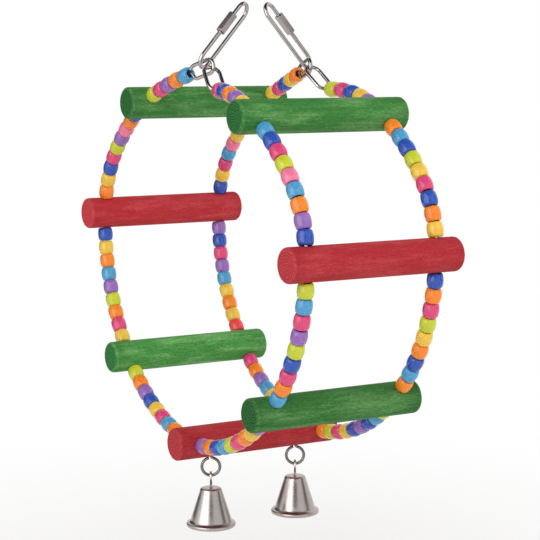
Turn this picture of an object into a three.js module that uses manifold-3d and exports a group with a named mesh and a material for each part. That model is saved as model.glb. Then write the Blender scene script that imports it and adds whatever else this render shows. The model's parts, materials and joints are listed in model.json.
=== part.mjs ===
// Bird ladder: two wire hoops threaded with barrel beads and joined by round wooden perches.
// Two quick links carry the hoops by their wire eyes, and two bells hang under the lowest perch.
// Millimetres, +Z up. X runs along the perches, -Y is the front, and the origin is the point
// between the tops of the quick links where a hook holds the ladder.

import * as THREE from 'three';
import { mergeVertices } from 'three/addons/utils/BufferGeometryUtils.js';
import Module from 'manifold-3d';

const wasm = await Module();
wasm.setup();

// Gaps between pieces
const SEAT_GAP = 0.3;
const HOLE_CLEARANCE = 0.9;

// Perches
const PERCH_DIAMETER = 19;
const PERCH_LENGTH = 107.5;
const PERCH_OVERHANG = 12.75;
const PERCH_CHAMFER = 1.3;
const PERCH_SIDES = 18;
const TOP_PERCH_PLACE = 3;

// Beads
const BEAD_LENGTH = 8.4;
const BEAD_DIAMETER = 9.3;
const BEAD_END_DIAMETER = 7.4;
const BEAD_EDGE = 1.7;
const BEAD_BORE = 4.4;
const BEAD_SIDES = 8;
const SPAN_BEADS = 9;
const TOP_BEADS = 5;

// Wire hoops: a wide lower arc, a tighter shoulder on each side and a flat arc over the top
const HOOP_SPACING = PERCH_LENGTH - 2 * PERCH_OVERHANG;
const WIRE_DIAMETER = 2.2;
const WIRE_SIDES = 6;
const WIRE_STEPS = 44;
const HEADING_STEP = 0.1;
const TOP_GAP = 32;
const SHOULDER_OFFSET = 53;
const SHOULDER_ANGLE = THREE.MathUtils.degToRad(92.5);
const TOP_ANGLE = THREE.MathUtils.degToRad(48.5);
const TOP_DRAW_IN = 4.5;
const TOP_RISE = 4;
const BALANCE_DROP = 31;

// Wire eyes: the rear one stands in the plane of the hoop, the front one hangs square in its tip
const REAR_EYE_HOLE = 5.8;
const REAR_EYE_LENGTH = 20.5;
const FRONT_EYE_HOLE = 7.4;
const EYE_BEND = 4.5;
const EYE_END = 2.4;
const EYE_LINK_SEAT = 13.5;
const EYE_LINK_PLAY = 1.35;
const EYE_HANG_ANGLE = THREE.MathUtils.degToRad(-40);
const BEND_STEPS = 4;
const BOW_STEPS = 8;

// Quick links
const LINK_LENGTH = 48;
const LINK_WIDTH = 12.8;
const LINK_WIRE = 2.4;
const LINK_SIDES = 8;
const LINK_TWIST = THREE.MathUtils.degToRad(35);
const LINK_TOP_SPACING = 13;
const LINK_GATE = 8;
const LINK_GATE_OFFSET = 5.5;
const NUT_LENGTH = 13;
const NUT_FLATS = 5.2;
const NUT_SIDES = 6;
const NUT_BORE_SEGMENTS = 5;

// Screw eyes under the lowest perch
const SCREW_EYE_INSET = 12;
const SCREW_EYE_SPACING = HOOP_SPACING - 2 * SCREW_EYE_INSET;
const SCREW_EYE_DIAMETER = 12.4;
const SCREW_EYE_WIRE = 1.8;
const SCREW_EYE_SEGMENTS = 16;
const SCREW_EYE_DEPTH = 12;
const SCREW_EYE_TURN = THREE.MathUtils.degToRad(-30);
const SHANK_DIAMETER = 2.2;

// Bells
const HANGER_WIRE = 1.4;
const HANGER_TOP_LOOP = 6.2;
const HANGER_LOWER_LOOP = 5.8;
const HANGER_DROP = 6.4;
const LOOP_SEGMENTS = 12;
const LOOP_SIDES = 6;
const BELL_HEIGHT = 23;
const BELL_TOP_DIAMETER = 13;
const BELL_WAIST_DIAMETER = 23.6;
const BELL_MOUTH_DIAMETER = 29;
const BELL_LIP_HEIGHT = 4.6;
const BELL_RIM_HEIGHT = 2.4;
const BELL_SHOULDER = 1.6;
const BELL_SHOULDER_CUT = 0.3;
const BELL_WALL = 0.9;
const BELL_SEGMENTS = 18;
const CLAPPER_WIRE = 1.2;
const CLAPPER_EYE = 5;
const CLAPPER_BALL = 6;
const BALL_SEGMENTS = 8;
const BALL_BANDS = 6;
const CLAPPER_INSET = 4.5;

// Stations along the wire, measured from the bottom of the hoop
const PERCH_RADIUS = PERCH_DIAMETER / 2;
const SPAN = PERCH_DIAMETER + SPAN_BEADS * BEAD_LENGTH + 2 * SEAT_GAP;
const TOP_PERCH_STATION = TOP_PERCH_PLACE * SPAN;
const TOP_BEADS_START = TOP_PERCH_STATION + PERCH_RADIUS + SEAT_GAP;
const WIRE_END_STATION = TOP_BEADS_START + TOP_BEADS * BEAD_LENGTH;
const HALF_HOOP = WIRE_END_STATION + TOP_GAP / 2;

// Radii of the hoop that give its wire that length
const TOP_OFFSET = SHOULDER_OFFSET * Math.sin(SHOULDER_ANGLE) / Math.sin(TOP_ANGLE);
const HOOP_RADIUS =
  (HALF_HOOP + SHOULDER_OFFSET * SHOULDER_ANGLE - TOP_OFFSET * TOP_ANGLE) / Math.PI;
const SHOULDER_RADIUS = HOOP_RADIUS - SHOULDER_OFFSET;
const TOP_RADIUS = SHOULDER_RADIUS + TOP_OFFSET;
const SHOULDER_FORWARD = SHOULDER_OFFSET * Math.sin(SHOULDER_ANGLE);
const SHOULDER_HEIGHT = SHOULDER_OFFSET * Math.cos(SHOULDER_ANGLE);
const TOP_CENTRE_HEIGHT = SHOULDER_HEIGHT - TOP_OFFSET * Math.cos(TOP_ANGLE);

const X_AXIS = new THREE.Vector3(1, 0, 0);
const Y_AXIS = new THREE.Vector3(0, 1, 0);
const Z_AXIS = new THREE.Vector3(0, 0, 1);

function finish(colour, roughness, metalness) {
  return () => new THREE.MeshStandardMaterial({ color: colour, roughness, metalness });
}

const greenWood = finish('#3f8a4a', 0.75, 0);
const redWood = finish('#b83a44', 0.75, 0);
const steelWire = finish('#8d8984', 0.35, 1);
const zincSteel = finish('#a29e9a', 0.3, 1);
const nickel = finish('#b5aca8', 0.25, 1);
const beadPlastic = (colour) => finish(colour, 0.3, 0);

// Closed solids

function toSolid(geometry) {
  const bare = geometry.clone();
  bare.deleteAttribute('normal');
  bare.deleteAttribute('uv');
  const merged = mergeVertices(bare);
  const corners = merged.index.array;
  const triangles = [];
  for (let i = 0; i < corners.length; i += 3) {
    const [a, b, c] = [corners[i], corners[i + 1], corners[i + 2]];
    if (a !== b && b !== c && c !== a) {
      triangles.push(a, b, c);
    }
  }
  return new wasm.Manifold(new wasm.Mesh({
    numProp: 3,
    vertProperties: new Float32Array(merged.attributes.position.array),
    triVerts: new Uint32Array(triangles),
  }));
}

function toGeometry(solid) {
  const mesh = solid.getMesh();
  const geometry = new THREE.BufferGeometry();
  geometry.setAttribute('position', new THREE.BufferAttribute(mesh.vertProperties, 3));
  geometry.setIndex(new THREE.BufferAttribute(mesh.triVerts, 1));
  geometry.computeVertexNormals();
  return geometry;
}

function joined(...geometries) {
  const solids = geometries.map(toSolid);
  return toGeometry(solids.reduce((whole, piece) => whole.add(piece)));
}

function cutBy(geometry, cutters) {
  const solids = cutters.map(toSolid);
  return toGeometry(solids.reduce((whole, cutter) => whole.subtract(cutter), toSolid(geometry)));
}

// A rod between two points.
function rod(from, to, diameter, sides) {
  const axis = to.clone().sub(from);
  const geometry = new THREE.CylinderGeometry(diameter / 2, diameter / 2, axis.length(), sides);
  const turn = new THREE.Quaternion().setFromUnitVectors(
    Y_AXIS, axis.clone().normalize());
  geometry.applyQuaternion(turn);
  const middle = from.clone().lerp(to, 0.5);
  return geometry.translate(middle.x, middle.y, middle.z);
}

// A closed ring of round wire in the XZ or YZ plane.
function ring(outerDiameter, wire, normalAxis, centre, segments, sides) {
  const geometry = new THREE.TorusGeometry((outerDiameter - wire) / 2, wire / 2, sides, segments);
  const turn = new THREE.Quaternion().setFromUnitVectors(Z_AXIS, normalAxis);
  geometry.applyQuaternion(turn);
  return geometry.translate(centre.x, centre.y, centre.z);
}

function indexed(positions, triangles) {
  const geometry = new THREE.BufferGeometry();
  geometry.setAttribute('position', new THREE.Float32BufferAttribute(positions, 3));
  geometry.setIndex(triangles);
  geometry.computeVertexNormals();
  return geometry;
}

// Joins two rings of corners by a band. A band faces outward when the second ring lies ahead.
function addBand(triangles, first, second, sides) {
  for (let k = 0; k < sides; k += 1) {
    const next = (k + 1) % sides;
    triangles.push(first + k, first + next, second + k);
    triangles.push(first + next, second + next, second + k);
  }
}

// Adds the corners of one ring round `centre`, square to the tangent.
function addRing(positions, centre, normal, binormal, radius, sides) {
  const first = positions.length / 3;
  for (let k = 0; k < sides; k += 1) {
    const angle = 2 * Math.PI * k / sides;
    const corner = centre.clone()
      .addScaledVector(normal, radius * Math.cos(angle))
      .addScaledVector(binormal, radius * Math.sin(angle));
    positions.push(corner.x, corner.y, corner.z);
  }
  return first;
}

// A round wire along a row of points, with flat ends.
function bentWire(points, diameter, sides, firstNormal) {
  const positions = [];
  const triangles = [];
  const rings = [];
  const normal = firstNormal.clone();
  points.forEach((point, i) => {
    const before = points[Math.max(i - 1, 0)];
    const after = points[Math.min(i + 1, points.length - 1)];
    const tangent = after.clone().sub(before).normalize();
    normal.addScaledVector(tangent, -normal.dot(tangent)).normalize();
    const binormal = tangent.clone().cross(normal);
    rings.push(addRing(positions, point, normal, binormal, diameter / 2, sides));
  });
  for (let i = 1; i < rings.length; i += 1) {
    addBand(triangles, rings[i - 1], rings[i], sides);
  }
  const last = rings[rings.length - 1];
  for (let k = 1; k < sides - 1; k += 1) {
    triangles.push(0, k + 1, k);
    triangles.push(last, last + k, last + k + 1);
  }
  return indexed(positions, triangles);
}

// The wire hoop, in a frame at the hoop's centre

// Forward reach and height of the hoop at a distance along the wire from its bottom.
function halfHoop(distance) {
  const lowerArc = HOOP_RADIUS * (Math.PI - SHOULDER_ANGLE);
  if (distance <= lowerArc) {
    const angle = Math.PI - distance / HOOP_RADIUS;
    return [HOOP_RADIUS * Math.sin(angle), HOOP_RADIUS * Math.cos(angle)];
  }
  const shoulderArc = SHOULDER_RADIUS * (SHOULDER_ANGLE - TOP_ANGLE);
  if (distance <= lowerArc + shoulderArc) {
    const angle = SHOULDER_ANGLE - (distance - lowerArc) / SHOULDER_RADIUS;
    return [
      SHOULDER_FORWARD + SHOULDER_RADIUS * Math.sin(angle),
      SHOULDER_HEIGHT + SHOULDER_RADIUS * Math.cos(angle),
    ];
  }
  const angle = TOP_ANGLE - (distance - lowerArc - shoulderArc) / TOP_RADIUS;
  return [TOP_RADIUS * Math.sin(angle), TOP_CENTRE_HEIGHT + TOP_RADIUS * Math.cos(angle)];
}

// A point of the wire. Stations run from the bottom, positive to the front, negative to the rear.
// Past the top perches the links draw the wire inwards, the rear end rises and the front end drops.
function wirePoint(station, side) {
  const [forward, height] = halfHoop(Math.abs(station));
  const towardsFront = Math.sign(station);
  const past = Math.max(0, Math.abs(station) - TOP_BEADS_START) / (TOP_BEADS * BEAD_LENGTH);
  return new THREE.Vector3(
    side * (HOOP_SPACING / 2 - TOP_DRAW_IN * past ** 2),
    -towardsFront * forward,
    height - towardsFront * TOP_RISE * past ** 2,
  );
}

// The wire's direction there, towards rising stations.
function wireHeading(station, side) {
  const step = HEADING_STEP;
  return wirePoint(station + step, side).sub(wirePoint(station - step, side)).normalize();
}

// One wire eye: the wire leaves its beads, swings to one side, rounds the tip and comes back.
function eyePoints(start, heading, along, across, halfWidth, length) {
  const place = (a, c) => start.clone().addScaledVector(along, a).addScaledVector(across, c);
  const bend = new THREE.CubicBezierCurve3(
    start,
    start.clone().addScaledVector(heading, EYE_BEND / 2),
    place(EYE_BEND / 2, -halfWidth),
    place(EYE_BEND, -halfWidth),
  );
  const points = bend.getPoints(BEND_STEPS).slice(1);
  for (let i = 0; i <= BOW_STEPS; i += 1) {
    const turn = Math.PI * i / BOW_STEPS;
    points.push(place(
      length - halfWidth + halfWidth * Math.sin(turn),
      -halfWidth * Math.cos(turn),
    ));
  }
  points.push(place(EYE_END, halfWidth));
  return points;
}

// The vector squared to a direction, as near as possible to a wished one.
function squareTo(direction, wished) {
  return wished.clone().addScaledVector(direction, -wished.dot(direction)).normalize();
}

// The rear eye's frame, the seat of the quick link in it and the place where the front eye hangs.
function rearEye(side) {
  const start = wirePoint(-WIRE_END_STATION, side);
  const along = wireHeading(-WIRE_END_STATION, side).negate();
  const across = squareTo(along, Z_AXIS);
  const halfWidth = (REAR_EYE_HOLE + WIRE_DIAMETER) / 2;
  const linkSeat = start.clone()
    .addScaledVector(along, EYE_LINK_SEAT)
    .addScaledVector(across, halfWidth);
  const hangReach = REAR_EYE_HOLE / 2 - WIRE_DIAMETER / 2 - SEAT_GAP;
  const hang = start.clone()
    .addScaledVector(along, REAR_EYE_LENGTH - halfWidth + hangReach * Math.cos(EYE_HANG_ANGLE))
    .addScaledVector(across, hangReach * Math.sin(EYE_HANG_ANGLE));
  const points = eyePoints(start, along, along, across, halfWidth, REAR_EYE_LENGTH);
  return { points, linkSeat, hang };
}

function frontEyePoints(side, hang) {
  const start = wirePoint(WIRE_END_STATION, side);
  const reach = hang.clone().sub(start);
  const along = reach.clone().normalize();
  const across = squareTo(along, X_AXIS).multiplyScalar(side);
  const halfWidth = (FRONT_EYE_HOLE + WIRE_DIAMETER) / 2;
  const heading = wireHeading(WIRE_END_STATION, side);
  return eyePoints(start, heading, along, across, halfWidth, reach.length());
}

function wireHoop(side) {
  const rear = rearEye(side);
  const points = rear.points.reverse();
  for (let i = 0; i <= WIRE_STEPS; i += 1) {
    points.push(wirePoint(WIRE_END_STATION * (2 * i / WIRE_STEPS - 1), side));
  }
  points.push(...frontEyePoints(side, rear.hang));
  return bentWire(points, WIRE_DIAMETER, WIRE_SIDES, X_AXIS);
}

// As many whole beads as there is room for, touching end to end, with one bore for the wire.
function beadStrand(startStation, beadRoom, side) {
  const beads = Math.floor(beadRoom);
  const positions = [];
  const triangles = [];
  const ringAt = (distance, diameter) => {
    const station = startStation + distance;
    const tangent = wireHeading(station, side);
    const normal = squareTo(tangent, X_AXIS);
    const binormal = tangent.clone().cross(normal);
    const centre = wirePoint(station, side);
    return addRing(positions, centre, normal, binormal, diameter / 2, BEAD_SIDES);
  };
  const outer = [ringAt(0, BEAD_END_DIAMETER)];
  for (let i = 0; i < beads; i += 1) {
    outer.push(ringAt(i * BEAD_LENGTH + BEAD_EDGE, BEAD_DIAMETER));
    outer.push(ringAt((i + 1) * BEAD_LENGTH - BEAD_EDGE, BEAD_DIAMETER));
    outer.push(ringAt((i + 1) * BEAD_LENGTH, BEAD_END_DIAMETER));
  }
  const boreSteps = Math.ceil(beads / 2);
  const bore = [];
  for (let i = 0; i <= boreSteps; i += 1) {
    bore.push(ringAt(beads * BEAD_LENGTH * i / boreSteps, BEAD_BORE));
  }
  for (let i = 1; i < outer.length; i += 1) {
    addBand(triangles, outer[i - 1], outer[i], BEAD_SIDES);
  }
  for (let i = 1; i < bore.length; i += 1) {
    addBand(triangles, bore[i], bore[i - 1], BEAD_SIDES);
  }
  addBand(triangles, bore[0], outer[0], BEAD_SIDES);
  addBand(triangles, outer[outer.length - 1], bore[bore.length - 1], BEAD_SIDES);
  return indexed(positions, triangles);
}

// A perch: a dowel with chamfered ends and a hole across it for each hoop's wire.
function perch(station, extraHoles) {
  const half = PERCH_LENGTH / 2;
  const profile = [
    new THREE.Vector2(0, -half),
    new THREE.Vector2(PERCH_RADIUS - PERCH_CHAMFER, -half),
    new THREE.Vector2(PERCH_RADIUS, -half + PERCH_CHAMFER),
    new THREE.Vector2(PERCH_RADIUS, half - PERCH_CHAMFER),
    new THREE.Vector2(PERCH_RADIUS - PERCH_CHAMFER, half),
    new THREE.Vector2(0, half),
  ];
  const dowel = new THREE.LatheGeometry(profile, PERCH_SIDES).rotateZ(-Math.PI / 2);
  const holes = [-1, 1].map((side) => {
    const heading = wireHeading(station, side).setX(0).normalize();
    const middle = new THREE.Vector3(side * HOOP_SPACING / 2, 0, 0);
    return rod(
      middle.clone().addScaledVector(heading, -PERCH_DIAMETER),
      middle.clone().addScaledVector(heading, PERCH_DIAMETER),
      WIRE_DIAMETER + 2 * HOLE_CLEARANCE,
      BEAD_SIDES,
    );
  });
  return cutBy(dowel, holes.concat(extraHoles));
}

// Blind holes in the underside of the lowest perch for the screw eyes.
function shankHoles() {
  return [-1, 1].map((side) => {
    const x = side * SCREW_EYE_SPACING / 2;
    return rod(
      new THREE.Vector3(x, 0, -PERCH_DIAMETER),
      new THREE.Vector3(x, 0, -PERCH_RADIUS + SCREW_EYE_DEPTH + SEAT_GAP),
      SHANK_DIAMETER + 2 * SEAT_GAP,
      BEAD_SIDES,
    );
  });
}

// Quick link: a bent rod with a gate in one long side, and a sleeve nut that closes the gate.
// Its own frame has the long side along Z and the width along X.
const LINK_HALF_WIDTH = (LINK_WIDTH - LINK_WIRE) / 2;
const LINK_HALF_SIDE = (LINK_LENGTH - LINK_WIRE) / 2 - LINK_HALF_WIDTH;

function quickLink() {
  const points = [new THREE.Vector3(-LINK_HALF_WIDTH, 0, LINK_GATE_OFFSET + LINK_GATE / 2)];
  for (let i = 0; i <= BOW_STEPS; i += 1) {
    const turn = Math.PI * i / BOW_STEPS;
    points.push(new THREE.Vector3(
      -LINK_HALF_WIDTH * Math.cos(turn), 0, LINK_HALF_SIDE + LINK_HALF_WIDTH * Math.sin(turn)));
  }
  for (let i = 0; i <= BOW_STEPS; i += 1) {
    const turn = Math.PI * i / BOW_STEPS;
    points.push(new THREE.Vector3(
      LINK_HALF_WIDTH * Math.cos(turn), 0, -LINK_HALF_SIDE - LINK_HALF_WIDTH * Math.sin(turn)));
  }
  points.push(new THREE.Vector3(-LINK_HALF_WIDTH, 0, LINK_GATE_OFFSET - LINK_GATE / 2));
  return bentWire(points, LINK_WIRE, LINK_SIDES, Y_AXIS);
}

function sleeveNut() {
  const middle = new THREE.Vector2();
  const corners = [];
  for (let k = 0; k < NUT_SIDES; k += 1) {
    const corner = new THREE.Vector2(NUT_FLATS / 2 / Math.cos(Math.PI / NUT_SIDES), 0);
    corners.push(corner.rotateAround(middle, 2 * Math.PI * k / NUT_SIDES));
  }
  const hexagon = new THREE.Shape(corners);
  const bore = new THREE.Path();
  bore.absarc(0, 0, LINK_WIRE / 2 + SEAT_GAP, 0, 2 * Math.PI);
  hexagon.holes.push(bore);
  const nut = new THREE.ExtrudeGeometry(hexagon, {
    depth: NUT_LENGTH,
    bevelEnabled: false,
    curveSegments: NUT_BORE_SEGMENTS,
  });
  return nut.translate(-LINK_HALF_WIDTH, 0, LINK_GATE_OFFSET - NUT_LENGTH / 2);
}

// Screw eye and bell, in a frame at the middle of the screw eye's ring, whose hole runs along Y
const EYE_RING_RADIUS = (SCREW_EYE_DIAMETER - SCREW_EYE_WIRE) / 2;
const UPPER_LOOP_RADIUS = (HANGER_TOP_LOOP - HANGER_WIRE) / 2;
const UPPER_LOOP_HEIGHT =
  -EYE_RING_RADIUS + (SCREW_EYE_WIRE + HANGER_WIRE) / 2 + SEAT_GAP - UPPER_LOOP_RADIUS;
const BELL_TOP_HEIGHT = -SCREW_EYE_DIAMETER / 2 - HANGER_DROP;
const LOWER_LOOP_HEIGHT = BELL_TOP_HEIGHT - BELL_WALL - SEAT_GAP - HANGER_LOWER_LOOP / 2;
const LOWER_LOOP_BOTTOM = LOWER_LOOP_HEIGHT - (HANGER_LOWER_LOOP - HANGER_WIRE) / 2;
const CLAPPER_EYE_HEIGHT =
  LOWER_LOOP_BOTTOM + (HANGER_WIRE + CLAPPER_WIRE) / 2 + SEAT_GAP - (CLAPPER_EYE - CLAPPER_WIRE) / 2;

const onAxis = (height) => new THREE.Vector3(0, 0, height);

function screwEye() {
  const top = SCREW_EYE_DIAMETER / 2 + SEAT_GAP + SCREW_EYE_DEPTH;
  return joined(
    ring(SCREW_EYE_DIAMETER, SCREW_EYE_WIRE, Y_AXIS, onAxis(0),
      SCREW_EYE_SEGMENTS, LOOP_SIDES),
    rod(onAxis(EYE_RING_RADIUS), onAxis(top), SHANK_DIAMETER, LOOP_SIDES),
  );
}

function bellHanger() {
  const stemTop = UPPER_LOOP_HEIGHT - UPPER_LOOP_RADIUS;
  const stemBottom = LOWER_LOOP_HEIGHT + (HANGER_LOWER_LOOP - HANGER_WIRE) / 2;
  return joined(
    ring(HANGER_TOP_LOOP, HANGER_WIRE, X_AXIS, onAxis(UPPER_LOOP_HEIGHT),
      LOOP_SEGMENTS, LOOP_SIDES),
    rod(onAxis(stemTop), onAxis(stemBottom), HANGER_WIRE, LOOP_SIDES),
    ring(HANGER_LOWER_LOOP, HANGER_WIRE, X_AXIS, onAxis(LOWER_LOOP_HEIGHT),
      LOOP_SEGMENTS, LOOP_SIDES),
  );
}

// A bell turned from sheet: flat crown, round shoulder, straight flare and a spread lip.
function bell() {
  const wall = BELL_WALL;
  const crown = BELL_TOP_DIAMETER / 2;
  const waist = BELL_WAIST_DIAMETER / 2;
  const mouth = BELL_MOUTH_DIAMETER / 2;
  const lipTop = BELL_LIP_HEIGHT - BELL_HEIGHT;
  const rimTop = BELL_RIM_HEIGHT - BELL_HEIGHT;
  const flare = (waist + mouth) / 2;
  const flareHeight = (lipTop + rimTop) / 2;
  const hole = HANGER_WIRE / 2 + SEAT_GAP;
  const outside = [
    new THREE.Vector2(hole, 0),
    new THREE.Vector2(crown - BELL_SHOULDER, 0),
    new THREE.Vector2(crown - BELL_SHOULDER * BELL_SHOULDER_CUT, -BELL_SHOULDER * BELL_SHOULDER_CUT),
    new THREE.Vector2(crown, -BELL_SHOULDER),
    new THREE.Vector2(waist, lipTop),
    new THREE.Vector2(flare, flareHeight - wall / 2),
    new THREE.Vector2(mouth, rimTop),
    new THREE.Vector2(mouth, -BELL_HEIGHT),
  ];
  const inside = [
    new THREE.Vector2(mouth - wall, -BELL_HEIGHT),
    new THREE.Vector2(flare - wall, flareHeight - wall / 2),
    new THREE.Vector2(waist - wall, lipTop - wall / 2),
    new THREE.Vector2(crown - wall, -BELL_SHOULDER - wall / 2),
    new THREE.Vector2(crown - BELL_SHOULDER, -wall),
    new THREE.Vector2(hole, -wall),
  ];
  const profile = [...outside, ...inside, outside[0].clone()];
  return new THREE.LatheGeometry(profile.reverse(), BELL_SEGMENTS).rotateX(Math.PI / 2)
    .translate(0, 0, BELL_TOP_HEIGHT);
}

function clapper() {
  const ballHeight = BELL_TOP_HEIGHT - BELL_HEIGHT + CLAPPER_INSET + CLAPPER_BALL / 2;
  const rodTop = CLAPPER_EYE_HEIGHT - (CLAPPER_EYE - CLAPPER_WIRE) / 2;
  const ball = new THREE.SphereGeometry(CLAPPER_BALL / 2, BALL_SEGMENTS, BALL_BANDS).rotateX(Math.PI / 2);
  return joined(
    ring(CLAPPER_EYE, CLAPPER_WIRE, Y_AXIS, onAxis(CLAPPER_EYE_HEIGHT),
      LOOP_SEGMENTS, LOOP_SIDES),
    rod(onAxis(rodTop), onAxis(ballHeight), CLAPPER_WIRE, LOOP_SIDES),
    ball.translate(0, 0, ballHeight),
  );
}

// Assembly

const PERCHES = [
  { name: 'perch_rear_top', place: -3, wood: greenWood },
  { name: 'perch_rear_middle', place: -2, wood: redWood },
  { name: 'perch_rear_lower', place: -1, wood: greenWood },
  { name: 'perch_bottom', place: 0, wood: redWood },
  { name: 'perch_front_lower', place: 1, wood: greenWood },
  { name: 'perch_front_middle', place: 2, wood: redWood },
  { name: 'perch_front_top', place: 3, wood: greenWood },
];

const STRANDS = [
  { name: 'rear_top', from: -WIRE_END_STATION, beads: TOP_BEADS, colour: '#9a70b8' },
  { name: 'rear_upper', place: -3, colour: '#ff8a2e' },
  { name: 'rear_middle', place: -2, colour: '#45a0d0' },
  { name: 'rear_lower', place: -1, colour: '#f0c040' },
  { name: 'front_lower', place: 0, colour: '#e0488c' },
  { name: 'front_middle', place: 1, colour: '#c8dc30' },
  { name: 'front_upper', place: 2, colour: '#3555c0' },
  { name: 'front_top', from: TOP_BEADS_START, beads: TOP_BEADS, colour: '#f880a8' },
];

const HANDS = [
  { name: 'left', side: -1 },
  { name: 'right', side: 1 },
];

function piece(name, geometry, material) {
  const mesh = new THREE.Mesh(geometry, material());
  mesh.name = name;
  return mesh;
}

const birdLadder = new THREE.Group();
const ladder = new THREE.Group();
birdLadder.add(ladder);

for (const { name, place, wood } of PERCHES) {
  const station = place * SPAN;
  const dowel = piece(name, perch(station, place === 0 ? shankHoles() : []), wood);
  dowel.position.copy(wirePoint(station, 1).setX(0));
  ladder.add(dowel);
}

for (const hand of HANDS) {
  ladder.add(piece(`${hand.name}_wire_hoop`, wireHoop(hand.side), steelWire));
  for (const strand of STRANDS) {
    const start = strand.from ?? strand.place * SPAN + PERCH_RADIUS + SEAT_GAP;
    const geometry = beadStrand(start, strand.beads ?? SPAN_BEADS, hand.side);
    ladder.add(piece(`${hand.name}_beads_${strand.name}`, geometry, beadPlastic(strand.colour)));
  }
}

// The links lean in from their seats in the rear eyes until their tops meet over the ladder.
const seat = rearEye(1).linkSeat;
const linkReach = LINK_LENGTH - LINK_WIRE - (WIRE_DIAMETER + LINK_WIRE) / 2 - EYE_LINK_PLAY;
const lean = Math.asin((seat.x - LINK_TOP_SPACING / 2) / linkReach);

// The ladder hangs by its rear eyes and tips until its balance point is straight below them.
const tilt = Math.atan2(seat.y, seat.z + BALANCE_DROP);
const hungSeat = seat.clone().setX(0).applyAxisAngle(X_AXIS, tilt);
ladder.rotation.x = tilt;
ladder.position.set(0, -hungSeat.y, LINK_WIRE / 2 - linkReach * Math.cos(lean) - hungSeat.z);
ladder.updateMatrix();

// Each bell hangs upright from the lowest point of its screw eye's tilted ring.
for (const hand of HANDS) {
  const perchUnderside = wirePoint(0, 1).z - PERCH_RADIUS;
  const ringMiddle = new THREE.Vector3(
    hand.side * SCREW_EYE_SPACING / 2, 0, perchUnderside - SEAT_GAP - SCREW_EYE_DIAMETER / 2);
  const eye = piece(`${hand.name}_screw_eye`, screwEye(), zincSteel);
  eye.position.copy(ringMiddle);
  eye.rotation.z = SCREW_EYE_TURN;
  ladder.add(eye);
  const ringNormal = Y_AXIS.clone()
    .applyAxisAngle(Z_AXIS, SCREW_EYE_TURN)
    .applyAxisAngle(X_AXIS, tilt);
  const hanging = new THREE.Group();
  hanging.position.copy(ringMiddle).applyMatrix4(ladder.matrix)
    .addScaledVector(squareTo(ringNormal, Z_AXIS), -EYE_RING_RADIUS)
    .addScaledVector(Z_AXIS, EYE_RING_RADIUS);
  hanging.rotation.z = SCREW_EYE_TURN;
  hanging.add(
    piece(`${hand.name}_bell_hanger`, bellHanger(), steelWire),
    piece(`${hand.name}_bell`, bell(), nickel),
    piece(`${hand.name}_clapper`, clapper(), steelWire),
  );
  birdLadder.add(hanging);
}

for (const hand of HANDS) {
  const link = new THREE.Group();
  const upward = new THREE.Vector3(-hand.side * Math.sin(lean), 0, Math.cos(lean));
  const inward = new THREE.Vector3(-hand.side * Math.cos(lean), 0, -Math.sin(lean));
  const normal = upward.clone().cross(inward);
  link.quaternion.setFromRotationMatrix(new THREE.Matrix4().makeBasis(inward, normal, upward));
  link.rotateZ(LINK_TWIST);
  const top = new THREE.Vector3(hand.side * LINK_TOP_SPACING / 2, 0, LINK_WIRE / 2);
  link.position.copy(top).addScaledVector(upward, -(LINK_LENGTH - LINK_WIRE) / 2);
  link.add(
    piece(`${hand.name}_quick_link`, quickLink(), zincSteel),
    piece(`${hand.name}_link_nut`, sleeveNut(), zincSteel),
  );
  birdLadder.add(link);
}

export default birdLadder;
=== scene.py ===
"""Looks of a hanging bird ladder: beaded wire hoops, stained perches, quick links and bells."""

import json
import math
import random

import bpy
from mathutils import Matrix, Vector


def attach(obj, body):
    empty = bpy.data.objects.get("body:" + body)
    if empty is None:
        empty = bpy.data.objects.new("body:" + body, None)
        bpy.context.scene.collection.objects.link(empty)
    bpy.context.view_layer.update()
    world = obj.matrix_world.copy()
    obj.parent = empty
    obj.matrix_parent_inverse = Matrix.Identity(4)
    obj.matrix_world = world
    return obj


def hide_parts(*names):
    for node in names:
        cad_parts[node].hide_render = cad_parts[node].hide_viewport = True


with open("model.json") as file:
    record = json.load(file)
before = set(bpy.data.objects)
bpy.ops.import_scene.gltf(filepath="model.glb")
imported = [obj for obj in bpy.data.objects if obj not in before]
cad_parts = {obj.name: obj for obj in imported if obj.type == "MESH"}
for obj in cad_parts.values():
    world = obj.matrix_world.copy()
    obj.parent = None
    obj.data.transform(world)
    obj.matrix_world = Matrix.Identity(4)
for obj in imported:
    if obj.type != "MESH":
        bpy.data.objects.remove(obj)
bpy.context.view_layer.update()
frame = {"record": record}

# Sizes of the ladder in millimetres, as in the CAD source where it has them
MM = 0.001
SEAT_GAP = 0.3

# Perches, and how far from an end face the end grain, the deep dip and the painted highlight on the
# rounded edge reach
PERCH_DIAMETER = 19
PERCH_LENGTH = 107.5
PERCH_OVERHANG = 12.75
PERCH_EDGE = 1.8
PERCHES_EACH_WAY = 3
HOLE_CLEARANCE = 0.9
END_GRAIN_DEPTH = 0.4 * PERCH_EDGE
DIPPED_DEPTH = 2 * PERCH_EDGE
EDGE_HIGHLIGHT_FROM = 0.05 * PERCH_EDGE
EDGE_HIGHLIGHT_TO = 0.9 * PERCH_EDGE
PITH_RUN = 400
PITH_ASIDE = 6
GRAIN_SEED = 7

# Beads
BEAD_LENGTH = 8.4
BEAD_DIAMETER = 9.3
BEAD_BORE = 4.4
BEAD_BULGE = 0.75
BEAD_EDGE = 1.35
BEAD_PLAY = 0.03
BEAD_LOOSENESS = 0.05
SPAN_BEADS = 9
TOP_BEADS = 5
SEEDS_PER_HOOP = 20

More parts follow.
